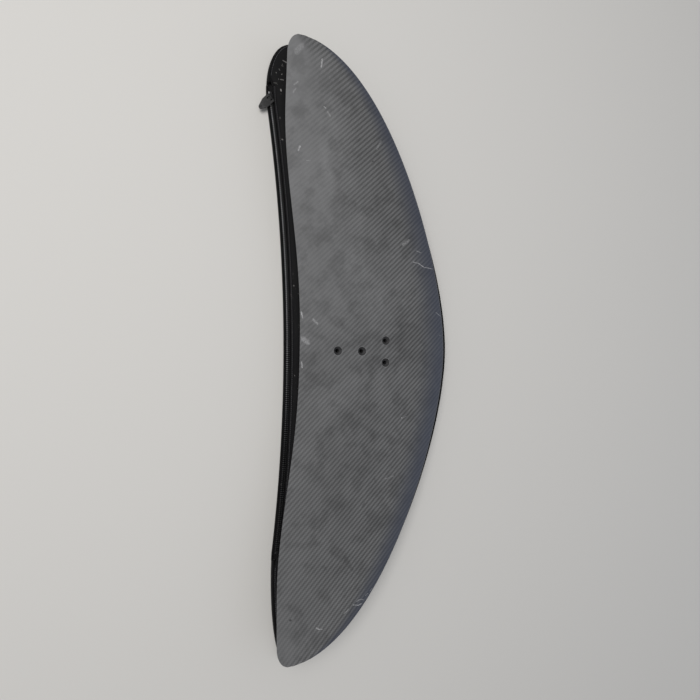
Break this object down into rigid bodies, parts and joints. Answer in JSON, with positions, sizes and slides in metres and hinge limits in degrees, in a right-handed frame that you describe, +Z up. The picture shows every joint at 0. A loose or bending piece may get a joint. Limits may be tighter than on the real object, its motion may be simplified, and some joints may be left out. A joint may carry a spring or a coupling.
{
  "type": "hydrofoil front wing on its zip cover",
  "caption": "Crescent carbon hydrofoil front wing with countersunk screw holes, lying upside down on its padded zip cover.",
  "frame": {"origin": "on the cover's flat underside, below the middle of the wing's root chord", "axes": "+X towards the wing's leading edge, +Y along the span towards the zip slider's end, +Z up, out of the wing's screw face"},
  "size_m": [0.3492, 1.0161, 0.0662],
  "materials": {
    "carbon_skin": "satin clear-coated two by two twill carbon, scuffed",
    "laminate": "solid carbon laminate, cut",
    "core_foam": "closed-cell structural foam",
    "shell_fabric": "black coated nylon weave",
    "cover_foam": "closed-cell padding foam",
    "lining_fabric": "dark grey lining cloth",
    "binding_tape": "black ribbed binding tape",
    "zip_tape": "black woven zip tape",
    "zip_teeth": "black moulded nylon, slightly shiny",
    "slider_metal": "black painted die casting",
    "pull_tab": "black moulded rubbery plastic"
  },
  "bodies": {
    "cover": {"cover_bottom_shell": "shell_fabric", "cover_bottom_foam": "cover_foam", "cover_bottom_lining": "lining_fabric", "cover_top_lining": "lining_fabric", "cover_top_foam": "cover_foam", "cover_top_shell": "shell_fabric", "front_binding": "binding_tape", "rear_binding": "binding_tape", "zip_tape_upper": "zip_tape", "zip_tape_lower": "zip_tape", "zip_teeth_upper": "zip_teeth", "zip_teeth_lower": "zip_teeth", "zip_top_stop": "zip_teeth", "zip_end_stop": "zip_teeth"},
    "wing": {"screw_face_skin": "carbon_skin", "lift_face_skin": "carbon_skin", "mount_block": "laminate", "screw_side_spar_cap": "laminate", "lift_side_spar_cap": "laminate", "foam_core_port": "core_foam", "nose_packing_port": "laminate", "tail_packing_port": "laminate", "tip_block_port": "laminate", "foam_core_starboard": "core_foam", "nose_packing_starboard": "laminate", "tail_packing_starboard": "laminate", "tip_block_starboard": "laminate"},
    "slider": {"zip_slider": "slider_metal"},
    "tab": {"pull_tab": "pull_tab"}
  },
  "joints": [
    {"name": "wing_lift", "type": "slide", "parent": "cover", "child": "wing", "axis": [0, 0, 1], "range_m": [0, 0.15]},
    {"name": "zip_travel", "type": "hinge", "parent": "cover", "child": "slider", "pos_m": [-3.04483, -0.0473, 0], "axis": [0, 0, 1], "range_deg": [-14.57, 0]},
    {"name": "tab_swing", "type": "hinge", "parent": "slider", "child": "tab", "pos_m": [-0.18115, 0.41024, 0.0103], "axis": [-0.7431, 0.6691, 0], "range_deg": [0, 150]}
  ]
}
